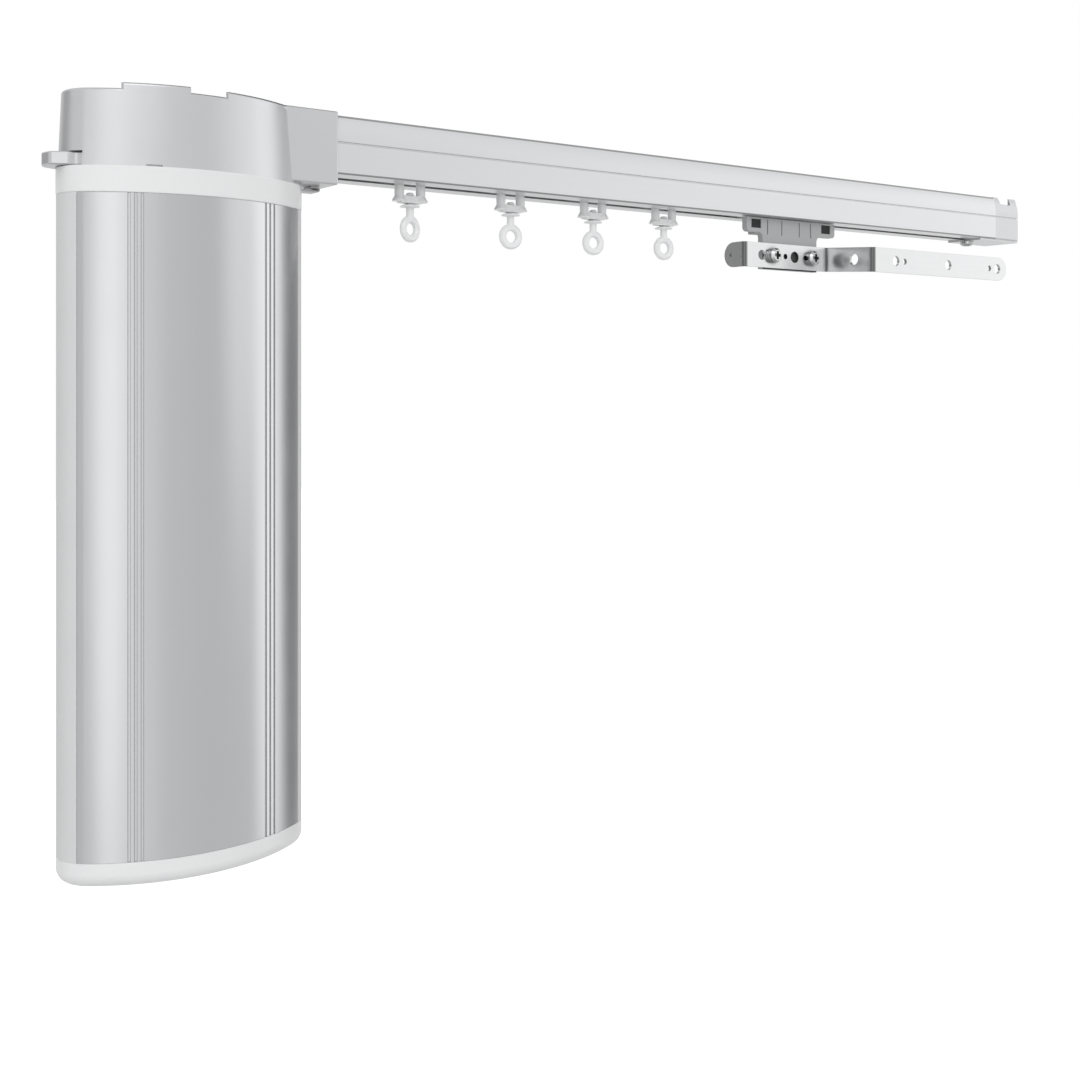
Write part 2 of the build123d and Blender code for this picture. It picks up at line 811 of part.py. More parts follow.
def rear_cover():
    """The rear cover, with a lip that slides behind each edge of the front cover."""
    shell = oval_ring(0, cover_wall, cover_bottom, collar_bottom) & seam_side(False)
    low, high = inner_bottom + bulkhead + run_gap, inner_top - bulkhead - run_gap
    lip = oval_ring(cover_wall, cover_lip, low, high)
    seam = motor_y - cover_seam
    far = motor_half_width + cut_over
    lip &= block((motor_x - far, motor_x + far), (seam - cover_lip_reach, seam + cover_lip_reach), (low, high))
    front = oval_ring(cover_wall, slip, low, high) & seam_side(True)
    return shell + (lip - front)


def top_collar():
    """The white collar: an oval lid over the covers, with a spigot inside them."""
    lid = oval_block(-collar_proud, collar_bottom, head_bottom)
    lid = fillet(lid.edges().group_by(Axis.Z)[0], collar_edge_radius)
    lid -= oval_block(collar_wall, collar_bottom - cut_over, collar_floor)
    lid += oval_ring(cover_wall + slip, spigot_wall, inner_top, collar_floor)
    lid -= upright(shaft_hole_radius, collar_floor - cut_over, head_bottom + cut_over, motor_x, 0)
    seam = motor_y - cover_seam
    edge = (motor_x + motor_half_width - motor_side_radius / 2, motor_x + motor_half_width + cut_over)
    slit = block(edge, (seam - collar_slit / 2, seam + collar_slit / 2), (collar_bottom, head_bottom))
    return lid - (slit - oval_block(cover_wall, collar_bottom, head_bottom))


def cap_shell():
    """The bottom cap as a bowl with a spigot up into the covers."""
    bowl = oval_block(-collar_proud / 2, cap_bottom, cover_bottom)
    bowl = fillet(bowl.edges().group_by(Axis.Z)[0], cap_edge_radius)
    hollow = oval_block(cap_wall, cap_floor, cover_bottom + cut_over)
    hollow = chamfer(hollow.edges().group_by(Axis.Z)[0], cap_edge_radius - cap_wall)
    ring = oval_ring(cover_wall + slip, spigot_wall, cover_bottom - cut_over, inner_bottom)
    return bowl - hollow + ring


def cap_posts():
    """Posts on the cap's floor for its screws and for the small board."""
    posts = [
        upright(cap_screw_post_radius, cap_floor - slip, inner_bottom, motor_x + side * cap_screw_x, 0)
        for side in (-1, 1)
    ]
    for side in (-1, 1):
        x = motor_x + small_board_x + side * post_x
        posts.append(upright(post_radius, cap_floor - slip, small_board_bottom(), x, side * post_y))
    return posts


def small_board_bottom():
    """Underside of the small board, above the pressed button and its switch."""
    button_top = cap_bottom - button_proud + button_length
    return button_top + button_travel + button_rest_gap + switch_plunger + switch_height


def bottom_cap():
    """The white bottom cap, cut for the sockets, the button, the lens and its screws."""
    cap = cap_shell()
    for post in cap_posts():
        cap += post
    low, high = cap_bottom - cut_over, cap_floor + cut_over
    for x, half_width, half_depth in (
        (inlet_x, inlet_half_width, inlet_half_depth), (jack_x, jack_half_width, jack_half_depth)
    ):
        wide, deep = half_width + slip, half_depth + slip
        cap -= block((motor_x + x - wide, motor_x + x + wide), (-deep, deep), (low, high))
    cap -= upright(button_radius + run_gap, low, high, motor_x + button_x, 0)
    cap -= upright(lens_radius + slip, low, high, motor_x + lens_x, 0)
    for side in (-1, 1):
        x = motor_x + side * cap_screw_x
        cap -= upright(small_shank_radius + slip, low, inner_bottom + cut_over, x, 0)
        cap -= upright(small_head_radius + run_gap, low, cap_bottom + small_head_height + slip, x, 0)
    return cap


def cap_screws():
    seat = cap_bottom + small_head_height + slip
    return [
        Pos(motor_x + side * cap_screw_x, 0, seat) * small_screw(cap_screw_shank) for side in (-1, 1)
    ]


def socket(x, half_width, half_depth, height, room_half_width, room_half_depth, room):
    """A socket body in the bottom cap: a flange on the cap's floor and a room open to below."""
    middle = motor_x + x
    body = block(
        (middle - half_width, middle + half_width), (-half_depth, half_depth),
        (cap_bottom, cap_bottom + height),
    )
    wide, deep = half_width + socket_flange, half_depth + socket_flange
    body += block((middle - wide, middle + wide), (-deep, deep), (cap_floor, cap_floor + socket_flange_height))
    return body - block(
        (middle - room_half_width, middle + room_half_width), (-room_half_depth, room_half_depth),
        (cap_bottom - cut_over, cap_bottom + room),
    )


def inlet_pins():
    """The inlet's two contact pins, rooted in its body and standing in its room."""
    root = cap_bottom + inlet_room
    pins = []
    for side in (-1, 1):
        x = motor_x + inlet_x + side * inlet_pin_spacing / 2
        pin = upright(inlet_pin_radius, root - inlet_pin_length, root + inlet_pin_root, x, 0)
        pins.append(chamfer(pin.edges().group_by(Axis.Z)[0], inlet_pin_radius * head_dome_share))
    return pins


def power_inlet():
    """The mains inlet, bored for its pins."""
    body = socket(
        inlet_x, inlet_half_width, inlet_half_depth, inlet_height,
        inlet_room_half_width, inlet_room_half_depth, inlet_room,
    )
    root = cap_bottom + inlet_room
    for side in (-1, 1):
        x = motor_x + inlet_x + side * inlet_pin_spacing / 2
        body -= upright(inlet_pin_radius, root - cut_over, root + inlet_pin_root, x, 0)
    return body


def contact_strips():
    """The data socket's spring contacts, along the back wall of its room."""
    top = cap_bottom + jack_room
    strips = []
    for number in range(jack_contacts):
        x = motor_x + jack_x + (number - (jack_contacts - 1) / 2) * jack_contact_pitch
        strips.append(block(
            (x - jack_contact_width / 2, x + jack_contact_width / 2),
            (jack_room_half_depth - jack_contact_sheet, jack_room_half_depth),
            (top - jack_contact_length, top),
        ))
    return strips


def data_socket():
    return socket(
        jack_x, jack_half_width, jack_half_depth, jack_height,
        jack_room_half_width, jack_room_half_depth, jack_room,
    )


def program_button():
    """The push button, its flange just above the cap's floor."""
    low = cap_bottom - button_proud
    x = motor_x + button_x
    cap = upright(button_radius, low, low + button_length, x, 0)
    cap = fillet(cap.edges().group_by(Axis.Z)[0], button_proud / 2)
    seat = cap_floor + button_rest_gap
    return cap + upright(button_flange_radius, seat, seat + button_flange, x, 0)


def status_lens():
    low = cap_bottom - lens_proud
    x = motor_x + lens_x
    rod = upright(lens_radius, low, low + lens_length, x, 0)
    return rod + upright(lens_flange_radius, cap_floor, cap_floor + lens_flange, x, 0)


def button_board():
    """The small board over the button, with its switch below it."""
    bottom = small_board_bottom()
    x = motor_x + small_board_x
    board = block(
        (x - small_board_half_width, x + small_board_half_width),
        (-small_board_half_depth, small_board_half_depth), (bottom, bottom + board_sheet),
    )
    x = motor_x + button_x
    switch_low = bottom - switch_height
    board += block((x - switch_half, x + switch_half), (-switch_half, switch_half), (switch_low, bottom))
    return board + upright(switch_plunger_radius, switch_low - switch_plunger, switch_low, x, 0)


# Inside the motor casing


def chassis():
    """The inner frame: three oval bulkheads on two bars."""
    inset = cover_wall + cover_lip + bulkhead_gap
    middle = inner_top - middle_bulkhead_depth
    levels = (inner_top - bulkhead, middle, inner_bottom)
    foot_inset = cover_wall + bulkhead_gap
    frame = oval_block(foot_inset, inner_bottom, inner_bottom + bulkhead)
    for low in levels[:2]:
        frame += oval_block(foot_inset if low == levels[0] else inset, low, low + bulkhead)
    for side in (-1, 1):
        x = motor_x + side * chassis_bar_x
        half = chassis_bar_width / 2
        depth = (-chassis_bar_half_depth, chassis_bar_half_depth)
        frame += block((x - half, x + half), depth, (inner_bottom, inner_top))
    frame -= upright(shaft_hole_radius, inner_top - bulkhead - cut_over, inner_top + cut_over, motor_x, 0)
    frame -= upright(motor_can_radius + slip, middle - cut_over, middle + bulkhead + cut_over, motor_x, 0)
    for side in (-1, 1):
        x = motor_x + side * cap_screw_x
        frame -= upright(small_shank_radius + slip, inner_bottom - cut_over, inner_bottom + cap_screw_shank, x, 0)
    return frame - socket_clearance()


def socket_clearance():
    """Holes in the lowest bulkhead over the two sockets and the small board."""
    low, high = inner_bottom - cut_over, inner_bottom + bulkhead + cut_over
    left = motor_x + inlet_x - inlet_half_width - run_gap
    right = motor_x + jack_x + jack_half_width + run_gap
    deep = inlet_half_depth + run_gap
    return block((left, right), (-deep, deep), (low, high))


def gearbox():
    """The gearbox: a flange under the top bulkhead and a stepped body, bored for the shaft."""
    top = inner_top - bulkhead
    body = upright(gearbox_flange_radius, top - gearbox_flange, top, motor_x, 0)
    body += upright(gearbox_radius, top - gearbox_height, top - gearbox_flange, motor_x, 0)
    bore = upright(drive_shaft_radius + shaft_gap, top - shaft_in_gearbox - run_gap, top + cut_over, motor_x, 0)
    return body - bore


def motor_can():
    """The motor's can, hung under the gearbox, with its rear bearing boss."""
    top = inner_top - bulkhead - gearbox_height
    low = top - motor_can_height
    can = upright(motor_can_radius, low, top, motor_x, 0)
    can = fillet(can.edges().group_by(Axis.Z)[0], track_edge_radius)
    return can + upright(motor_boss_radius, low - motor_boss_height, low, motor_x, 0)


def control_board():
    """The control board standing on the lowest bulkhead, with its relays."""
    floor = inner_bottom + bulkhead
    x = motor_x + board_x
    board = block((x, x + board_sheet), (-board_half_width, board_half_width), (floor, floor + board_height))
    for share in relay_shares:
        low = floor + share * board_height
        board += block(
            (x - relay_depth, x), (-relay_half_width, relay_half_width), (low, low + relay_height)
        )
    return board


def power_module():
    """The power supply block, standing on the lowest bulkhead."""
    floor = inner_bottom + bulkhead
    x = motor_x + module_x
    body = block(
        (x - module_half_width, x + module_half_width), (-module_half_depth, module_half_depth),
        (floor, floor + module_height),
    )
    deep = inlet_half_depth + run_gap
    room = block(
        (x - module_half_width - cut_over, x + module_half_width + cut_over), (-deep, deep),
        (floor - cut_over, cap_bottom + inlet_height + run_gap),
    )
    return body - room


# Gliders


def post_section(top, bottom):
    """Half section of a glider's post: domed head over the slot, shank and flared base."""
    radius = glider_post_radius
    neck = top - glider_head_height
    flare = bottom + glider_flare_height
    lip = bottom + glider_flare_lip
    return make_face(Polyline(
        (0, top), (glider_head_radius - glider_head_dome, top), (glider_head_radius, top - glider_head_dome),
        (glider_head_radius, neck), (radius, neck), (radius, flare), (glider_flare_radius, lip),
        (glider_flare_radius, bottom + glider_flare_lip / 2), (radius, bottom), (0, bottom), close=True,
    ))


def glider(place):
    """A glider's moulding: two posts with flared bases, joined by a bridge that holds the eyelet."""
    seat = runner_floor + run_gap
    bottom = -track_height - glider_post_drop
    body = None
    for side in (-1, 1):
        post = revolve(Plane.XZ * post_section(seat + glider_head_height, bottom), Axis.Z)
        post = Pos(place + side * glider_post_half_spacing, 0, 0) * post
        body = post if body is None else body + post
    low = bottom - glider_bridge_above
    high = low + glider_bridge_height
    span = (place - glider_post_half_spacing, place + glider_post_half_spacing)
    bridge = block(span, (-glider_bridge_half_depth, glider_bridge_half_depth), (low, high))
    hole = upright(eyelet_stem_radius + shaft_gap, low - cut_over, high + cut_over, place, 0)
    return body + bridge - hole


def eyelet(place, turn):
    """A swivelling eyelet: snap head over the bridge, stem, cone flange, neck and ring."""
    low = -track_height - glider_post_drop - glider_bridge_above
    high = low + glider_bridge_height
    head = high + run_gap
    flange = low - run_gap
    rim = flange - eyelet_flange_cone
    centre = -track_height - eyelet_centre_drop
    neck_foot = centre + eyelet_hole_radius + (eyelet_ring_radius - eyelet_hole_radius) / 2
    section = make_face(Polyline(
        (0, head + eyelet_head_height), (eyelet_stem_radius, head + eyelet_head_height),
        (eyelet_head_radius, head + eyelet_head_height / 2), (eyelet_head_radius, head),
        (eyelet_stem_radius, head), (eyelet_stem_radius, flange), (glider_post_radius, flange),
        (eyelet_flange_radius, rim), (eyelet_flange_radius, rim - eyelet_flange_edge),
        (eyelet_neck_radius, rim - eyelet_flange_edge - eyelet_flange_cone / 2),
        (eyelet_neck_radius, neck_foot), (0, neck_foot), close=True,
    ))
    stem = revolve(Plane.XZ * section, Axis.Z)
    half = eyelet_ring_thickness / 2
    ring = crosswise(eyelet_ring_radius, -half, half, 0, centre)
    ring = chamfer(ring.edges(), eyelet_outer_chamfer)
    hole = crosswise(eyelet_hole_radius, -half - cut_over, half + cut_over, 0, centre)
    ring -= hole
    inner = [edge for edge in ring.edges().filter_by(GeomType.CIRCLE) if edge.radius < eyelet_hole_radius + slip]
    ring = chamfer(inner, eyelet_inner_chamfer)
    return Pos(place, 0, 0) * Rot(0, 0, turn) * (stem + ring - hole)


# Master carrier


def neck_span():
    """Left and right of the carrier's neck."""
    return carrier_left + carrier_shoulder_left, carrier_left + carrier_length - carrier_shoulder_right


def carrier_front():
    """The carrier's front outline below the track: a wide block on a narrower neck."""
    top = -track_height - run_gap
    shoulder = top - carrier_block_height
    low = shoulder - carrier_neck_height
    left, right = carrier_left, carrier_left + carrier_length
    neck_left, neck_right = neck_span()
    outline = make_face(Polyline(
        (left, top), (right, top), (right, shoulder), (neck_right, shoulder), (neck_right, low),
        (neck_left, low), (neck_left, shoulder), (left, shoulder), close=True,
    ))
    corners = outline.vertices().group_by(Axis.Y)[1].sort_by(Axis.X)
    outline = fillet([corners[0], corners[-1]], carrier_outer_round)
    inner = [
        corner for corner in outline.vertices()
        if abs(corner.Y - shoulder) < slip and neck_left - slip < corner.X < neck_right + slip
    ]
    return fillet(inner, carrier_inner_round)


def pad_spans():
    """Where the two black pads sit along the carrier."""
    first = carrier_left + pad_inset
    last = carrier_left + carrier_length - pad_inset - pad_length
    return ((first, first + pad_length), (last, last + pad_length))


def pad_heights():
    top = -track_height - run_gap - pad_drop
    return (top - pad_height, top)


def carrier_body():
    """The grey moulding: front plate and body below the track, stem in the slot, shoe and post inside."""
    body = Pos(0, carrier_plate - carrier_half_depth, 0) * extrude(Plane.XZ * carrier_front(), carrier_plate)
    below = -track_height - run_gap
    body += block(
        (carrier_left + carrier_body_inset, carrier_left + carrier_length - carrier_body_inset),
        (-carrier_half_depth, carrier_body_back), (below - carrier_block_height, below),
    )
    plate_back = carrier_plate - carrier_half_depth
    for x in arm_screw_x:
        body += crosswise(
            carrier_boss_radius, -carrier_half_depth, plate_back + carrier_boss_length, x, arm_middle()
        )
    inner = (carrier_left + carrier_shoe_inset, carrier_left + carrier_length - carrier_shoe_inset)
    shoe_low, shoe_high = runner_floor + run_gap, rib_bottom - run_gap
    body += block(inner, (-carrier_stem_half, carrier_stem_half), (below, shoe_high))
    body += block(inner, (-carrier_shoe_half, carrier_shoe_half), (shoe_low, shoe_high))
    middle = (inner[0] + inner[1]) / 2
    post_x = (middle - carrier_post_length / 2, middle + carrier_post_length / 2)
    body += block(post_x, (-carrier_post_half, carrier_post_half), (shoe_high, web_bottom - run_gap))
    for span in pad_spans():
        body -= block(span, (-carrier_half_depth - cut_over, pad_depth - carrier_half_depth), pad_heights())
    groove_top = below - pad_drop
    neck_left, neck_right = neck_span()
    for share in panel_groove_shares:
        x = neck_left + share * (neck_right - neck_left)
        body -= block(
            (x - panel_groove_width / 2, x + panel_groove_width / 2),
            (-carrier_half_depth - cut_over, panel_groove_depth - carrier_half_depth),
            (groove_top - panel_groove_length, groove_top),
        )
    for x in arm_screw_x:
        depth = arm_screw_shank + cut_over - carrier_half_depth
        body -= crosswise(big_shank_radius + slip, -carrier_half_depth - cut_over, depth, x, arm_middle())
    for x in roller_places():
        body -= crosswise(roller_axle_radius + shaft_gap, -track_half_width, track_half_width, x, roller_height())
    reach = -carrier_post_half + clamp_screw_shank
    clamp_z = (belt_bottom + belt_top) / 2
    return body - crosswise(small_shank_radius + slip, -track_half_width, reach, middle, clamp_z)


def roller_places():
    return (carrier_left + roller_inset, carrier_left + carrier_length - roller_inset)


def roller_height():
    return runner_floor + run_gap + roller_radius


def carrier_pads():
    """The two black pads, set a little behind the carrier's front face."""
    front = -carrier_half_depth + pad_recess
    return [block(span, (front, pad_depth - carrier_half_depth), pad_heights()) for span in pad_spans()]


def roller_pair(x):
    """Two wheels on one axle through the carrier's shoe."""
    z = roller_height()
    far = roller_inner + roller_width
    pair = crosswise(roller_axle_radius, -far, far, x, z)
    for side in (-1, 1):
        ends = sorted((side * roller_inner, side * far))
        pair += crosswise(roller_radius, *ends, x, z)
    return pair


def belt_clamp():
    """The block that straddles the belt's front run, open below, beside the carrier's post."""
    middle = carrier_left + carrier_length / 2
    span = (middle - clamp_length / 2, middle + clamp_length / 2)
    gap = belt_half + run_gap
    outer = belt_half_spacing + gap + clamp_jaw
    low, high = rib_top + run_gap, belt_top + run_gap + clamp_top
    block_body = block(span, (-outer, -carrier_post_half), (low, high))
    way = block(
        (span[0] - cut_over, span[1] + cut_over), (-belt_half_spacing - gap, -belt_half_spacing + gap),
        (low - cut_over, belt_top + run_gap),
    )
    z = (belt_bottom + belt_top) / 2
    hole = crosswise(small_shank_radius + slip, -belt_half_spacing + gap - cut_over, 0, middle, z)
    return block_body - way - hole


def clamp_screw():
    """The headless screw that holds the clamp to the carrier's post."""
    middle = carrier_left + carrier_length / 2
    z = (belt_bottom + belt_top) / 2
    front = -belt_half_spacing + belt_half + run_gap + slip
    return crosswise(small_shank_radius, front, -carrier_post_half + clamp_screw_shank, middle, z)


# Steel arm


def arm_middle():
    return -arm_top - arm_height / 2


def arm_plate():
    """The plate on the carrier's neck and the rounded tab bent back from its left end."""
    low, high = -arm_top - arm_height, -arm_top
    back = -carrier_half_depth
    plate = block((arm_left, arm_bend_x), (arm_front, back), (low, high))
    tab = block((arm_left, arm_left + arm_sheet), (arm_front, arm_front + arm_tab - arm_height / 2), (low, high))
    tab += lengthwise(arm_height / 2, arm_left, arm_left + arm_sheet, arm_front + arm_tab - arm_height / 2, arm_middle())
    return plate + tab


def arm_wing():
    """The part bent forward from the plate, a little lower at its front end."""
    front = arm_front - arm_offset
    high, low = -arm_top, -arm_top - arm_height
    back = front + arm_sheet
    side = make_face(Polyline(
        (arm_front, high), (arm_front, low), (back, low - arm_drop), (front, low - arm_drop),
        (front, high - arm_drop), (back, high - arm_drop), close=True,
    ))
    return Pos(arm_bend_x - arm_sheet, 0, 0) * extrude(Plane.YZ * side, arm_sheet)


def arm_bar():
    """The long bar with its round end and its row of holes."""
    front = arm_front - arm_offset
    low, high = -arm_top - arm_height - arm_drop, -arm_top - arm_drop
    middle = arm_middle() - arm_drop
    round_x = arm_end - arm_height / 2
    bar = block((arm_bend_x - arm_sheet, round_x), (front, front + arm_sheet), (low, high))
    bar += crosswise(arm_height / 2, front, front + arm_sheet, round_x, middle)
    for hole in range(arm_row_count):
        x = arm_row_start + hole * arm_row_pitch
        bar -= crosswise(arm_row_radius, front - cut_over, front + arm_sheet + cut_over, x, middle)
    last = arm_row_start + (arm_row_count - 1) * arm_row_pitch
    for x in (arm_row_start + arm_small_offset, last - arm_small_offset):
        bar -= crosswise(arm_small_radius, front - cut_over, front + arm_sheet + cut_over, x, middle)
    return bar


def edges_at(shape, places):
    """The upright edges of a shape that stand at the given places."""
    return [
        edge for edge in shape.edges().filter_by(Axis.Z)
        if any(math.hypot(edge.center().X - x, edge.center().Y - y) < slip for x, y in places)
    ]


def steel_arm():
    """The carrier's bent arm: tab, plate, wing and bar of one strip, with rounded bends."""
    arm = arm_plate() + arm_wing() + arm_bar()
    back, front = -carrier_half_depth, arm_front - arm_offset
    wing_left = arm_bend_x - arm_sheet
    outer = ((arm_left, arm_front), (arm_bend_x, back), (wing_left, front))
    inner = ((arm_left + arm_sheet, back), (wing_left, arm_front), (arm_bend_x, front + arm_sheet))
    arm = fillet(edges_at(arm, outer), arm_bend_radius)
    arm = fillet(edges_at(arm, inner), arm_bend_radius - arm_sheet)
    for x, radius in arm_plate_holes:
        arm -= crosswise(
            radius, arm_front - cut_over, -carrier_half_depth + cut_over, arm_centre + x, arm_middle()
        )
    for x in arm_screw_x:
        arm -= crosswise(
            big_shank_radius + slip, arm_front - cut_over, -carrier_half_depth + cut_over, x, arm_middle()
        )
    tab_x = (arm_left - cut_over, arm_left + arm_sheet + cut_over)
    arm -= lengthwise(arm_tab_hole_radius, *tab_x, arm_tab_hole_y, arm_middle())
    wing_x = (arm_bend_x - arm_sheet - cut_over, arm_bend_x + cut_over)
    fall = arm_drop * (arm_front - arm_wing_hole_y) / arm_offset
    return arm - lengthwise(arm_wing_hole_radius, *wing_x, arm_wing_hole_y, arm_middle() - fall)


def arm_screws():
    seat = arm_front - washer_height
    return [Pos(x, seat, arm_middle()) * Rot(-90, 0, 0) * big_screw(arm_screw_shank) for x in arm_screw_x]


def arm_washers():
    return [
        Pos(x, arm_front - washer_height, arm_middle()) * Rot(-90, 0, 0) * split_washer()
        for x in arm_screw_x
    ]


def pieces():
    """Every node by name, as one solid or a list of alike solids."""
    named = {
        "track_profile": track_profile(),
        "head_housing": head_housing(),
        "head_base": head_base_plate(),
        "head_screws": head_screws(),
        "upper_bearing": bearing(head_room_top - bearing_height, bearing_height),
        "lower_bearing": bearing(head_bottom, lower_bearing_height),
        "lock_lever": lock_lever(),
        "lever_pin": lever_pin(),
        "sleeve_clip": sleeve_clip(),
        "drive_belt": drive_belt(),
        "drive_pulley": drive_pulley(),
        "output_shaft": output_shaft(),
        "front_idler": idler(-1),
        "rear_idler": idler(1),
        "idler_pins": idler_pins(),
        "end_pulley": end_pulley(),
        "end_pulley_axle": end_pulley_axle(),
        "end_pulley_housing": end_pulley_housing(),
        "end_screw": end_screw(),
        "motor_cover": motor_cover(),
        "rear_cover": rear_cover(),
        "top_collar": top_collar(),
        "bottom_cap": bottom_cap(),
        "cap_screws": cap_screws(),
        "power_inlet": power_inlet(),
        "inlet_pins": inlet_pins(),
        "data_socket": data_socket(),
        "socket_contacts": contact_strips(),
        "program_button": program_button(),
        "status_lens": status_lens(),
        "button_board": button_board(),
        "chassis": chassis(),
        "gearbox": gearbox(),
        "motor_can": motor_can(),
        "control_board": control_board(),
        "power_module": power_module(),
        "carrier_body": carrier_body(),
        "carrier_pads": carrier_pads(),
        "belt_clamp": belt_clamp(),
        "clamp_screw": clamp_screw(),
        "steel_arm": steel_arm(),
        "arm_screws": arm_screws(),
        "arm_washers": arm_washers(),
    }
    for number, x in enumerate(roller_places(), 1):
        named[f"carrier_rollers_{number}"] = roller_pair(x)
    for number, (x, turn) in enumerate(zip(glider_x, eyelet_turn), 1):
        named[f"glider_{number}"] = glider(x)
        named[f"eyelet_{number}"] = eyelet(x, turn)
    return named


os.makedirs("parts", exist_ok=True)
for name, shape in pieces().items():
    solids = Compound(children=list(shape)) if isinstance(shape, list) else shape
    export_step(solids, f"parts/{name}.step")
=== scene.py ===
import json
import math
from typing import NamedTuple

import bmesh
import bpy
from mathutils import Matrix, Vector


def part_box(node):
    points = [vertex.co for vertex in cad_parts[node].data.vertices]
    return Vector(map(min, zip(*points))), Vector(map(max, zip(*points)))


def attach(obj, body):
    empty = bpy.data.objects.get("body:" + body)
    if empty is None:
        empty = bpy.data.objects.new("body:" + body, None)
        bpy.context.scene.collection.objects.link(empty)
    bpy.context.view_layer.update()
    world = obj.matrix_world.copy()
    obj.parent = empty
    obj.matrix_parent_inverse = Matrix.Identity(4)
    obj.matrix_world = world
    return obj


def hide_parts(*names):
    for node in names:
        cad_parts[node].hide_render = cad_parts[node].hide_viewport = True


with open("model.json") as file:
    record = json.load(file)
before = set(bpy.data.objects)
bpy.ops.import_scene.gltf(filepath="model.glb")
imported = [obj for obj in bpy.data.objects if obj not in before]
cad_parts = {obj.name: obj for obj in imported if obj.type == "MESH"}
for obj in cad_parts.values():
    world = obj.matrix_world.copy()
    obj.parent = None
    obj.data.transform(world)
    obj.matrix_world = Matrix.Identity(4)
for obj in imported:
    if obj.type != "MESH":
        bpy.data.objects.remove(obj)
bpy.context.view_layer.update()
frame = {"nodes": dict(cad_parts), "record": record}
record = frame["record"]
slots = {entry["node"]: entry["material_slot"] for entry in record["subparts"]}
body_of = {node: body for body, nodes in record["behaviour"]["bodies"].items() for node in nodes}

MM = 0.001
WHITE = (1.0, 1.0, 1.0)


# Shading nodes


class Tree:
    """A node tree with short ways to add nodes and links."""

    def __init__(self, tree):
        self.tree = tree
        self.tree.nodes.clear()

    def node(self, kind, values=(), **settings):
        """A new node; each value is a number for its input or the output that feeds it."""
        made = self.tree.nodes.new(kind)
        for key, value in settings.items():
            setattr(made, key, value)
        for key, value in dict(values).items():
            self.feed(made.inputs[key], value)
        return made

    def feed(self, socket, value):
        if isinstance(value, bpy.types.NodeSocket):
            self.tree.links.new(value, socket)
        else:
            socket.default_value = value

    def worked(self, operation, *values):
        """A number worked out from one or two others."""
        return self.node("ShaderNodeMath", dict(enumerate(values)), operation=operation).outputs[0]

    def vector(self, operation, *values):
        made = self.node("ShaderNodeVectorMath", dict(enumerate(values)), operation=operation)
        return made.outputs["Value" if operation == "DOT_PRODUCT" else "Vector"]

    def coordinates(self, kind="Object"):
        return self.node("ShaderNodeTexCoord").outputs[kind]

    def parts(self, vector):
        """The X, Y and Z outputs of a vector."""
        return self.node("ShaderNodeSeparateXYZ", {"Vector": vector}).outputs

    def size_of_part(self, vector, part):
        return self.worked("ABSOLUTE", self.parts(vector)[part])

    def noise(self, coordinates, scale, detail=3.0, roughness=0.55):
        return self.node("ShaderNodeTexNoise", {
            "Vector": coordinates, "Scale": scale, "Detail": detail, "Roughness": roughness,
        }).outputs["Fac"]

    def ranged(self, value, span, low=0.0, high=1.0, **settings):
        """Low up to the span's first end, high from its other end on, and a ramp between them."""
        return self.node("ShaderNodeMapRange", {
            "Value": value, "From Min": span[0], "From Max": span[1], "To Min": low, "To Max": high,
        }, **settings).outputs["Result"]

    def mixed(self, factor, first, second):
        """A mix of two colours, each an output or plain red, green and blue."""
        mix = self.node("ShaderNodeMix", {"Factor": factor}, data_type="RGBA")
        for name, value in (("A", first), ("B", second)):
            socket = [s for s in mix.inputs if s.name == name and s.type == "RGBA"][0]
            self.feed(socket, value if isinstance(value, bpy.types.NodeSocket) else rgba(value))
        return [s for s in mix.outputs if s.type == "RGBA"][0]

    def mixed_shaders(self, factor, first, second):
        return self.node("ShaderNodeMixShader", {0: factor, 1: first, 2: second}).outputs[0]

    def bump(self, height, distance, normal=None):
        values = {"Height": height, "Distance": distance}
        if normal is not None:
            values["Normal"] = normal
        return self.node("ShaderNodeBump", values).outputs["Normal"]

    def ray_kind(self, *names):
        """1 for any of the named kinds of ray."""
        path = self.node("ShaderNodeLightPath")
        total = path.outputs[names[0]]
        for name in names[1:]:
            total = self.worked("MAXIMUM", total, path.outputs[name])
        return total


def rgba(colour):
    return (*colour, 1.0)


def shaded(colour, share):
    """A colour made lighter or darker by a share."""
    return tuple(min(1.0, max(0.0, channel * (1.0 + share))) for channel in colour)


# Tones that a finish is made of, each laid over the one before; the edge, bend, side, crevice, rim and corner
# tones are painted light and shade

BROAD_SPAN = (0.1, 0.9)
BROAD_REACH = 2.5
GRAIN_SPAN = (0.3, 0.7)
GRAIN_STRENGTH = 0.35
GRAIN_REACH = 2.0
GRAIN_TONE = -0.02
LINE_SPAN = (0.35, 0.65)


def mottled(tree, colour, broad, fine, mottle):
    """Broad lighter and darker patches with a fine darker grain."""
    darker = shaded(colour, -BROAD_REACH * mottle)
    lighter = shaded(colour, BROAD_REACH * mottle)
    patches = tree.mixed(tree.ranged(broad, BROAD_SPAN), darker, lighter)
    grain = shaded(colour, GRAIN_TONE - GRAIN_REACH * mottle)
    return tree.mixed(tree.ranged(fine, GRAIN_SPAN, high=GRAIN_STRENGTH), patches, grain)


# The cosines between the bevelled and the plain normal where an edge starts and where it is full
EDGE_SPAN = (0.99, 0.80)
EDGE_SAMPLES = 4


def painted_edge_tone(tree, tone, colour, share, radius):
    """Rounded edges painted lighter by a positive share as a painted highlight, and darker by a negative one
    as painted shade and dark reflection.
    """
    soft = tree.node("ShaderNodeBevel", {"Radius": radius * MM}, samples=EDGE_SAMPLES).outputs["Normal"]
    plain = tree.node("ShaderNodeNewGeometry").outputs["Normal"]
    edge = tree.ranged(tree.vector("DOT_PRODUCT", soft, plain), EDGE_SPAN)
    return tree.mixed(edge, tone, shaded(colour, share))


BEND_SPAN = (0.12, 0.40)
BEND_SHADE_TONE = -0.90


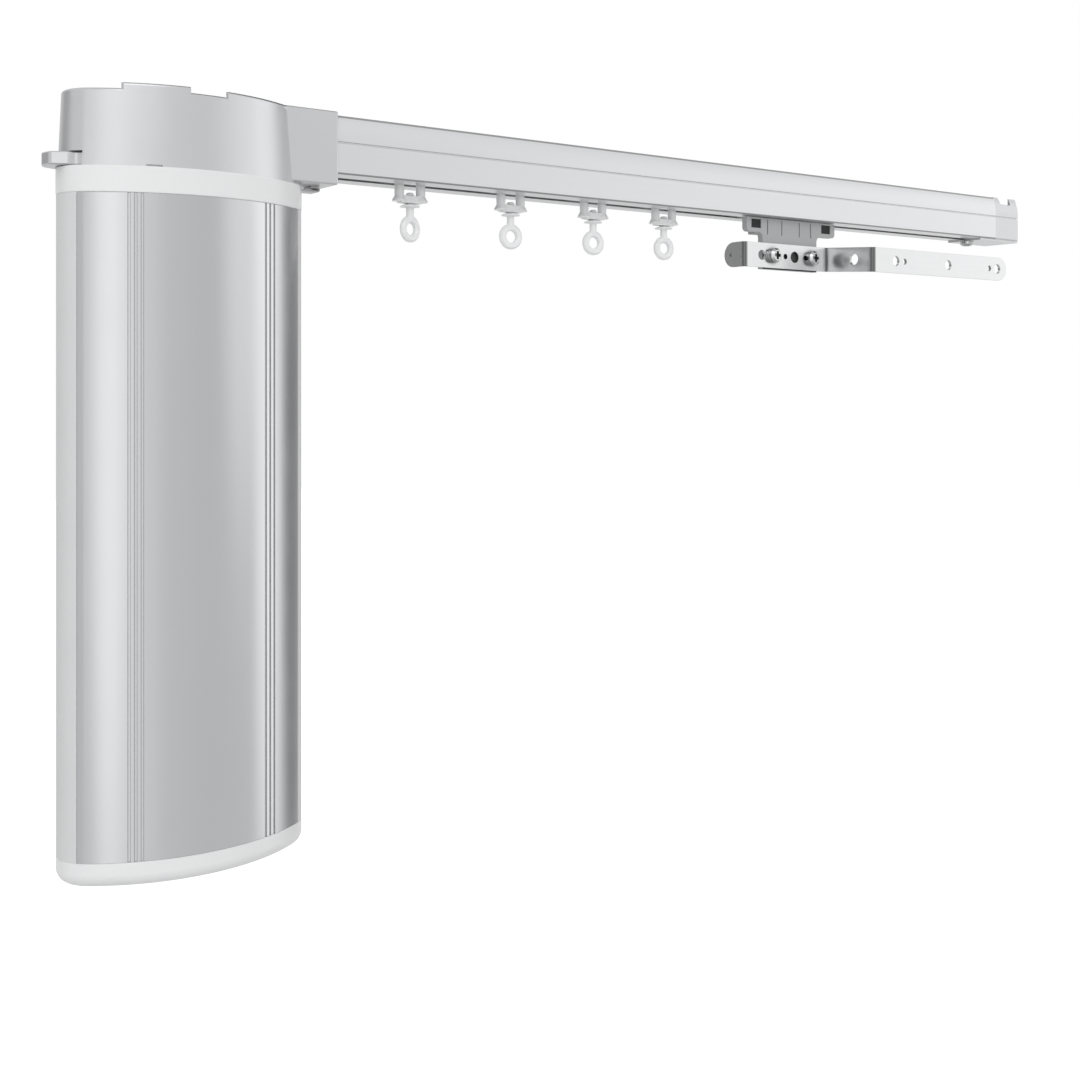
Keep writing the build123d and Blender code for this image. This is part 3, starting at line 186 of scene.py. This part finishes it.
def painted_bend_shade(tree, tone, colour, strength):
    """Painted shade on faces that look between X and Y, standing in for the dark reflections in a bent
    strip's bends.
    """
    normal = tree.coordinates("Normal")
    turned = tree.worked("MULTIPLY", tree.size_of_part(normal, "Y"), tree.size_of_part(normal, "X"))
    return tree.mixed(tree.ranged(turned, BEND_SPAN, high=strength), tone, shaded(colour, BEND_SHADE_TONE))


SIDE_SPAN = (0.85, 0.45)
SIDE_SHADE_TONE = -0.80


def painted_side_shade(tree, tone, colour, strength):
    """Painted shade on faces that look away from Y."""
    along = tree.size_of_part(tree.coordinates("Normal"), "Y")
    return tree.mixed(tree.ranged(along, SIDE_SPAN, high=strength), tone, shaded(colour, SIDE_SHADE_TONE))


CREVICE_REACH = 4.0
CREVICE_SPAN = (0.85, 0.45)
CREVICE_SAMPLES = 6
PAINTED_SHADE_TONE = -0.92


def painted_crevice_shade(tree, tone, colour, strength):
    """Painted shade in small hollows, from ambient occlusion."""
    open_share = tree.node(
        "ShaderNodeAmbientOcclusion", {"Distance": CREVICE_REACH * MM}, samples=CREVICE_SAMPLES
    ).outputs["AO"]
    return tree.mixed(tree.ranged(open_share, CREVICE_SPAN, high=strength), tone, shaded(colour, PAINTED_SHADE_TONE))


RIM_UPRIGHT_SPAN = (0.97, 0.90)
RIM_STRENGTH = 0.85
RIM_BLEND = 0.15
RIM_SHADE_TONE = -0.62


def painted_rim_shade(tree, tone, colour, low, high):
    """Painted shade lines in which the upright faces end, below the one height and above the other."""
    height = tree.parts(tree.coordinates())["Z"]
    level = tree.size_of_part(tree.coordinates("Normal"), "Z")
    upright = tree.ranged(level, RIM_UPRIGHT_SPAN, high=RIM_STRENGTH)
    below = tree.ranged(height, ((low + RIM_BLEND) * MM, low * MM))
    above = tree.ranged(height, ((high - RIM_BLEND) * MM, high * MM))
    line = tree.worked("MULTIPLY", upright, tree.worked("MAXIMUM", below, above))
    return tree.mixed(line, tone, shaded(colour, RIM_SHADE_TONE))


SHADE_BLEND_DOWN = 0.3
SHADE_BLEND_BACK = 0.1


def painted_corner_shade(tree, tone, colour, top, front):
    """Painted shade on the part of the piece below one height and before one place along Y."""
    parts = tree.parts(tree.coordinates())
    below = tree.ranged(parts["Z"], (top * MM, (top - SHADE_BLEND_DOWN) * MM))
    before = tree.ranged(parts["Y"], ((front + SHADE_BLEND_BACK) * MM, front * MM))
    return tree.mixed(tree.worked("MULTIPLY", below, before), tone, shaded(colour, PAINTED_SHADE_TONE))


COAT_ROUGHNESS = 0.15
SCATTER_RADIUS = (0.6, 0.6, 0.55)
SCATTER_SCALE = 1.5


def finish_material(
    name, colour, roughness, metallic=0.0, grain=2600.0, grain_depth=0.02, mottle=0.03, patch=35.0,
    streak=None, streak_share=0.05, streak_depth=0.02, edge=0.12, edge_radius=0.35, spread=0.02,
    coat=0.0, translucent=0.0, bend_shade=0.0, side_shade=0.0, crevice_shade=0.0, rim_shade=None, corner_shade=None,
):
    """A moulded or metal finish: broad tone, fine grain, drawn streaks where given, and edges toned as
    painted highlight and painted shade.

    Patch and grain are the scales of the broad and the fine noise, and a streak is the lines' scale along
    each axis. Depths, radii and heights are in millimetres. Bend shade, side shade and crevice shade are
    strengths from 0 to 1 of painted shade. Rim shade is a low and a high height, and corner shade is a height
    and a place along Y, each for painted shade.
    """
    material = bpy.data.materials.new(name)
    material.use_nodes = True
    tree = Tree(material.node_tree)
    broad = tree.noise(tree.coordinates(), patch, detail=2.0)
    fine = tree.noise(tree.coordinates(), grain, detail=2.0, roughness=0.6)
    tone = mottled(tree, colour, broad, fine, mottle)
    rough = tree.ranged(broad, BROAD_SPAN, roughness - spread, roughness + spread)
    normal = tree.bump(fine, grain_depth * MM)
    if streak is not None:
        stretched = tree.node("ShaderNodeMapping", {"Vector": tree.coordinates(), "Scale": streak})
        lines = tree.noise(stretched.outputs["Vector"], 1.0, detail=5.0, roughness=0.7)
        tone = tree.mixed(tree.ranged(lines, LINE_SPAN), tone, shaded(colour, -streak_share))
        normal = tree.bump(lines, streak_depth * MM, normal)
    # Painted highlight and painted shade along the rounded edges
    tone = painted_edge_tone(tree, tone, colour, edge, edge_radius)
    # Painted shade in the bends
    if bend_shade:
        tone = painted_bend_shade(tree, tone, colour, bend_shade)
    # Painted shade on the faces that look sideways
    if side_shade:
        tone = painted_side_shade(tree, tone, colour, side_shade)
    # Painted shade in the small hollows
    if crevice_shade:
        tone = painted_crevice_shade(tree, tone, colour, crevice_shade)
    # Painted shade lines along the upright faces' rims
    if rim_shade is not None:
        tone = painted_rim_shade(tree, tone, colour, *rim_shade)
    # Painted shade below one height and in front of one place along Y
    if corner_shade is not None:
        tone = painted_corner_shade(tree, tone, colour, *corner_shade)
    shader = tree.node("ShaderNodeBsdfPrincipled", {
        "Base Color": tone, "Roughness": rough, "Metallic": metallic, "Normal": normal,
        "Coat Weight": coat, "Coat Roughness": COAT_ROUGHNESS, "Subsurface Weight": translucent,
        "Subsurface Radius": SCATTER_RADIUS, "Subsurface Scale": SCATTER_SCALE * MM,
    }, distribution="MULTI_GGX")
    tree.node("ShaderNodeOutputMaterial", {"Surface": shader.outputs["BSDF"]})
    return material


# Streaks run along the axis with the small number
ALONG_X = (2.0, 900.0, 900.0)
ALONG_Z = (1400.0, 1400.0, 3.0)

# The track's faces end in painted shade lines, and the carrier has painted shade behind the arm's holes
RIM_ABOVE_BOTTOM = 0.7
RIM_BELOW_TOP = 0.9
SHADE_BELOW_ARM_TOP = 0.3
SHADE_BEHIND_FRONT = 0.2
track_low, track_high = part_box("track_profile")
track_rim_shade = (track_low.z / MM + RIM_ABOVE_BOTTOM, track_high.z / MM - RIM_BELOW_TOP)
carrier_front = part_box("carrier_body")[0].y
arm_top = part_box("steel_arm")[1].z
carrier_shade = (arm_top / MM - SHADE_BELOW_ARM_TOP, carrier_front / MM + SHADE_BEHIND_FRONT)

# Negative edge shares paint the edges darker as shade and dark reflection, and positive ones paint an edge
# highlight
looks = {
    "track_aluminium": finish_material(
        "track_anodised", (0.76, 0.765, 0.775), 0.31, 0.80, grain=4200, grain_depth=0.0015, mottle=0.006,
        streak=ALONG_X, streak_share=0.015, streak_depth=0.0006, edge=-0.34, edge_radius=0.45, spread=0.03,
        rim_shade=track_rim_shade,
    ),
    "cover_aluminium": finish_material(
        "cover_anodised", (0.62, 0.625, 0.635), 0.22, 1.0, grain=5200, grain_depth=0.0012, mottle=0.006,
        streak=ALONG_Z, streak_share=0.015, streak_depth=0.0004, edge=-0.30, edge_radius=0.35, spread=0.03,
    ),
    "rear_plastic": finish_material(
        "rear_moulded", (0.70, 0.705, 0.71), 0.46, grain=2400, grain_depth=0.012, mottle=0.012, edge=0.06,
    ),
    "white_plastic": finish_material(
        "white_moulded", (0.83, 0.835, 0.84), 0.30, grain=1800, grain_depth=0.002, mottle=0.005, edge=0.04,
        coat=0.35, translucent=0.08,
    ),
    "head_plastic": finish_material(
        "head_lacquered", (0.655, 0.66, 0.67), 0.30, 0.75, grain=2200, grain_depth=0.002, mottle=0.006,
        edge=0.10,
    ),
    "carrier_plastic": finish_material(
        "carrier_moulded", (0.42, 0.425, 0.43), 0.42, grain=2400, grain_depth=0.005, mottle=0.012,
        edge=0.14, corner_shade=carrier_shade,
    ),
    "glider_plastic": finish_material(
        "glider_moulded", (0.88, 0.885, 0.89), 0.32, grain=2600, grain_depth=0.006, mottle=0.015, edge=0.08,
        translucent=0.15,
    ),
    "pad_rubber": finish_material(
        "pad_rubber_black", (0.012, 0.012, 0.013), 0.62, grain=2600, grain_depth=0.03, mottle=0.10, edge=0.6,
    ),
    "arm_steel": finish_material(
        "arm_zinc", (0.80, 0.805, 0.81), 0.22, 1.0, grain=3600, grain_depth=0.003, mottle=0.02, patch=90.0,
        streak=ALONG_X, streak_share=0.03, streak_depth=0.001, edge=-0.40, edge_radius=0.3, bend_shade=0.9,
        side_shade=0.25, crevice_shade=0.9,
    ),
    "screw_steel": finish_material(
        "screw_zinc", (0.60, 0.605, 0.61), 0.18, 1.0, grain=5200, grain_depth=0.002, mottle=0.03, patch=400.0,
        edge=-0.50, edge_radius=0.4,
    ),
    "arm_screw": finish_material(
        "arm_screw_zinc", (0.70, 0.705, 0.71), 0.18, 1.0, grain=5200, grain_depth=0.002, mottle=0.03,
        patch=400.0, edge=-0.30, edge_radius=0.25, side_shade=0.7, crevice_shade=0.95,
    ),
    "contact_brass": finish_material(
        "contact_plated", (0.62, 0.46, 0.20), 0.31, 1.0, grain=5200, grain_depth=0.004, mottle=0.05,
        patch=300.0, edge=0.15, edge_radius=0.1,
    ),
    "clip_steel": finish_material(
        "clip_zinc", (0.50, 0.50, 0.505), 0.30, 0.9, grain=3600, grain_depth=0.004, mottle=0.08, edge=0.8,
        edge_radius=0.15,
    ),
    "belt_rubber": finish_material(
        "belt_ribbed", (0.03, 0.03, 0.03), 0.7, grain=1800, grain_depth=0.03, mottle=0.12, edge=0.4,
        streak=ALONG_X, streak_share=0.2, streak_depth=0.02,
    ),
    "pulley_plastic": finish_material(
        "pulley_acetal", (0.82, 0.82, 0.79), 0.30, grain=2600, grain_depth=0.004, mottle=0.015, edge=0.05,
        translucent=0.15,
    ),
    "bush_bronze": finish_material(
        "bush_sintered", (0.42, 0.27, 0.12), 0.42, 1.0, grain=3200, grain_depth=0.02, mottle=0.12, edge=0.2,
    ),
    "frame_plastic": finish_material(
        "frame_moulded", (0.05, 0.05, 0.053), 0.5, grain=2200, grain_depth=0.02, mottle=0.06, edge=0.3,
    ),
    "motor_steel": finish_material(
        "motor_zinc", (0.55, 0.555, 0.56), 0.32, 1.0, grain=3600, grain_depth=0.005, mottle=0.06, patch=120.0,
        streak=ALONG_Z, streak_share=0.05, streak_depth=0.004, edge=0.15,
    ),
    "board_green": finish_material(
        "board_mask", (0.02, 0.12, 0.05), 0.35, grain=900, grain_depth=0.01, mottle=0.12, edge=0.3, coat=0.3,
    ),
    "socket_black": finish_material(
        "socket_moulded", (0.02, 0.02, 0.021), 0.45, grain=2400, grain_depth=0.016, mottle=0.08, edge=0.5,
    ),
    "lens_clear": finish_material(
        "lens_frosted", (0.72, 0.80, 0.76), 0.18, grain=1500, grain_depth=0.002, mottle=0.02, edge=0.05,
        coat=0.5, translucent=0.4,
    ),
}

# Nodes whose look differs from the rest of their slot
own_looks = {"arm_screws": "arm_screw"}


def look_of(node):
    """The node's own look where it has one, or else its slot's."""
    return looks[own_looks.get(node, slots[node])]


for node, piece in frame["nodes"].items():
    piece.data.materials.clear()
    piece.data.materials.append(look_of(node))


# Pieces with rounded edges in place of the CAD's sharp ones

WELD_DISTANCE = 0.002
FLAT_ANGLE = math.radians(0.4)
SHARP_ANGLE = math.radians(32.0)
BEVEL_SEGMENTS = 2


def cleaned_mesh(node):
    """The node's mesh with its points joined, its flat faces merged and its curves shaded smooth."""
    work = bmesh.new()
    work.from_mesh(frame["nodes"][node].data)
    bmesh.ops.remove_doubles(work, verts=work.verts, dist=WELD_DISTANCE * MM)
    bmesh.ops.dissolve_limit(
        work, angle_limit=FLAT_ANGLE, verts=work.verts, edges=work.edges, delimit={"NORMAL"}
    )
    plain = bpy.data.meshes.new(f"{node}_plain")
    work.to_mesh(plain)
    work.free()
    plain.shade_smooth()
    plain.set_sharp_from_angle(angle=SHARP_ANGLE)
    return plain


def round_edges(holder, width):
    """Modifiers that round the sharp edges and leave triangles with even shading."""
    bevel = holder.modifiers.new("edge", "BEVEL")
    bevel.width = width * MM
    bevel.segments = BEVEL_SEGMENTS
    bevel.limit_method = "ANGLE"
    bevel.angle_limit = SHARP_ANGLE
    bevel.use_clamp_overlap = True
    bevel.miter_outer = "MITER_SHARP"
    weighted = holder.modifiers.new("normals", "WEIGHTED_NORMAL")
    weighted.keep_sharp = True
    triangles = holder.modifiers.new("faces", "TRIANGULATE")
    triangles.quad_method = "SHORTEST_DIAGONAL"
    triangles.keep_custom_normals = True


def linked(name, data):
    """A new object in the scene."""
    made = bpy.data.objects.new(name, data)
    bpy.context.scene.collection.objects.link(made)
    return made


def dressed(node, width):
    """The node's own form with its sharp edges rounded by a small real bevel, in place of the node."""
    holder = linked(f"{node}_work", cleaned_mesh(node))
    round_edges(holder, width)
    shaped = bpy.data.meshes.new_from_object(holder.evaluated_get(bpy.context.evaluated_depsgraph_get()))
    bpy.data.objects.remove(holder)
    shaped.name = f"{node}_rounded"
    shaped.materials.clear()
    shaped.materials.append(look_of(node))
    piece = linked(f"{node}_rounded", shaped)
    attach(piece, body_of[node])
    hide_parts(node)


# The width of each visible piece's rounding, in millimetres
rounding = {
    "track_profile": 0.12, "head_housing": 0.25, "lock_lever": 0.15, "sleeve_clip": 0.1,
    "end_pulley_housing": 0.2, "end_screw": 0.08, "motor_cover": 0.1, "rear_cover": 0.12,
    "top_collar": 0.2, "bottom_cap": 0.15, "power_inlet": 0.12, "data_socket": 0.12,
    "inlet_pins": 0.08, "socket_contacts": 0.05, "program_button": 0.08, "status_lens": 0.06,
    "carrier_body": 0.25, "carrier_pads": 0.2, "steel_arm": 0.15, "arm_screws": 0.08,
    "arm_washers": 0.08, "cap_screws": 0.08,
}

GLIDERS = 4
for number in range(1, GLIDERS + 1):
    rounding[f"glider_{number}"] = 0.15
    rounding[f"eyelet_{number}"] = 0.12
for node, width in rounding.items():
    dressed(node, width)


# Light and surroundings


class Lobe(NamedTuple):
    """A soft-edged brighter or darker patch round a direction, with X to the right, Y back and Z up.

    Outer and inner are the cosines of the angles at which it starts and is full. The height share is the
    share of a direction's height that counts, so a low one makes a tall upright patch.
    """

    direction: tuple
    outer: float
    inner: float
    level: float
    height_share: float = 1.0


# What plain faces are lit by
SOFT_LEVEL = 0.62
SOFT_LOBES = {
    "wide front left": Lobe((-0.55, -0.83, 0.15), 0.30, 0.99, 0.42),
    "wide front": Lobe((0.30, -0.95, 0.10), 0.50, 0.99, 0.15),
    "above": Lobe((0.0, -0.25, 0.97), 0.20, 0.95, 0.25),
    "dark right": Lobe((1.0, 0.15, 0.0), 0.25, 0.95, -0.44),
    "dark below": Lobe((0.0, 0.0, -1.0), 0.25, 0.95, -0.20),
}

# What metal and gloss mirror
CARD_HEIGHT_SHARE = 0.4
MIRROR_LEVEL = 0.74
MIRROR_LOBES = {
    "tall front left": Lobe((-0.65, -0.76, 0.02), 0.968, 0.998, 0.46, CARD_HEIGHT_SHARE),
    "tall front": Lobe((-0.47, -0.88, 0.02), 0.906, 0.990, 0.16, CARD_HEIGHT_SHARE),
    "faint front": Lobe((-0.20, -0.98, 0.0), 0.850, 0.990, 0.04, CARD_HEIGHT_SHARE),
    "tall right": Lobe((0.93, -0.365, 0.02), 0.964, 0.997, 0.66, CARD_HEIGHT_SHARE),
    "front right": Lobe((0.70, -0.70, 0.13), 0.955, 0.998, 0.31),
    "upper right": Lobe((0.82, -0.50, 0.34), 0.965, 0.995, 0.14),
    "high front right": Lobe((0.58, -0.61, 0.54), 0.930, 0.990, 0.16),
    "dark right": Lobe((1.0, 0.052, 0.0), 0.970, 0.996, -0.50, CARD_HEIGHT_SHARE),
    "back right": Lobe((0.90, 0.43, 0.0), 0.930, 0.990, 0.16, CARD_HEIGHT_SHARE),
    "dark back left": Lobe((-0.74, 0.67, 0.05), 0.860, 0.990, -0.40),
    "dark high back": Lobe((0.58, 0.35, 0.73), 0.750, 0.900, -0.72),
    "dark below": Lobe((0.0, 0.0, -1.0), 0.500, 0.950, -0.28),
}


def lobed(tree, level, lobes):
    """A level over the sphere of directions with the lobes added to it."""
    for lobe in lobes.values():
        flat = tree.vector("MULTIPLY", tree.coordinates("Generated"), (1.0, 1.0, lobe.height_share))
        centre = Vector(lobe.direction).normalized()
        near = tree.vector("DOT_PRODUCT", tree.vector("NORMALIZE", flat), centre)
        added = tree.ranged(near, (lobe.outer, lobe.inner), high=lobe.level, interpolation_type="SMOOTHSTEP")
        level = tree.worked("ADD", added, level)
    return level


def studio():
    """Soft light for plain faces, brighter and darker cards for mirrors, and white behind for the camera."""
    world = bpy.data.worlds.new("studio")
    bpy.context.scene.world = world
    world.use_nodes = True
    tree = Tree(world.node_tree)

    def surround(strength):
        return tree.node("ShaderNodeBackground", {"Color": rgba(WHITE), "Strength": strength}).outputs[0]

    soft = surround(lobed(tree, SOFT_LEVEL, SOFT_LOBES))
    cards = surround(lobed(tree, MIRROR_LEVEL, MIRROR_LOBES))
    mirrored = tree.ray_kind("Is Glossy Ray", "Is Transmission Ray")
    around = tree.mixed_shaders(mirrored, soft, cards)
    seen = tree.mixed_shaders(tree.ray_kind("Is Camera Ray"), around, surround(1.0))
    tree.node("ShaderNodeOutputWorld", {"Surface": seen})


FLOOR_HEIGHT = -0.62
FLOOR_HALF = 6.0
FLOOR_TONES = ((0.80, 0.80, 0.80), (0.82, 0.82, 0.82))
FLOOR_GRAIN = 60.0
FLOOR_LIFT = 0.5


def floor_paper():
    """Pale paper that the camera sees lifted to white, and that mirrors and views from below see past."""
    material = bpy.data.materials.new("floor_paper")
    material.use_nodes = True
    tree = Tree(material.node_tree)
    tone = tree.mixed(tree.noise(tree.coordinates(), FLOOR_GRAIN), *FLOOR_TONES)
    paper = tree.node("ShaderNodeBsdfDiffuse", {"Color": tone}).outputs[0]
    seen = tree.ranged(tree.ray_kind("Is Camera Ray"), (0.0, 1.0), high=FLOOR_LIFT)
    lift = tree.node("ShaderNodeEmission", {"Color": rgba(WHITE), "Strength": seen}).outputs[0]
    lit = tree.node("ShaderNodeAddShader", {0: paper, 1: lift}).outputs[0]
    from_below = tree.node("ShaderNodeNewGeometry").outputs["Backfacing"]
    unseen = tree.worked("MAXIMUM", from_below, tree.ray_kind("Is Glossy Ray", "Is Transmission Ray"))
    clear = tree.node("ShaderNodeBsdfTransparent").outputs[0]
    tree.node("ShaderNodeOutputMaterial", {"Surface": tree.mixed_shaders(unseen, lit, clear)})
    return material


def floor(height, half):
    """A plain floor well below the motor."""
    mesh = bpy.data.meshes.new("floor")
    corners = [(-half, -half, height), (half, -half, height), (half, half, height), (-half, half, height)]
    mesh.from_pydata(corners, [], [(0, 1, 2, 3)])
    mesh.materials.append(floor_paper())
    linked("floor", mesh)


KEY_PLACE = (-0.6, -1.3, 1.2)
KEY_TARGET = (0.1, 0.0, -0.1)
KEY_SIZE = 0.9
KEY_POWER = 4.0


def lamp(name, place, target, size, power):
    """A soft square lamp aimed at a point."""
    light = bpy.data.lights.new(name, "AREA")
    light.shape = "RECTANGLE"
    light.size = size
    light.size_y = size
    light.energy = power
    holder = linked(name, light)
    holder.location = place
    aim = Vector(target) - Vector(place)
    holder.rotation_euler = aim.to_track_quat("-Z", "Y").to_euler()


studio()
floor(FLOOR_HEIGHT, FLOOR_HALF)
lamp("key", KEY_PLACE, KEY_TARGET, KEY_SIZE, KEY_POWER)


# Camera, level and fitted to the photograph

CAMERA_PLACE = (-0.3007, -0.5755, -0.1202)
CAMERA_HEADING = (0.5895, 0.8078)
LENS = 48.24
SENSOR_WIDTH = 36.0
LENS_SHIFT = -0.1391
NEAREST = 0.01


def aim_camera():
    view = bpy.data.cameras.new("view")
    view.sensor_width = SENSOR_WIDTH
    view.lens = LENS
    view.shift_y = LENS_SHIFT
    view.clip_start = NEAREST
    camera = linked("view", view)
    camera.location = CAMERA_PLACE
    camera.rotation_euler = (math.radians(90.0), 0.0, -math.atan2(*CAMERA_HEADING))
    bpy.context.scene.camera = camera


aim_camera()
bpy.context.scene.view_settings.view_transform = "Standard"
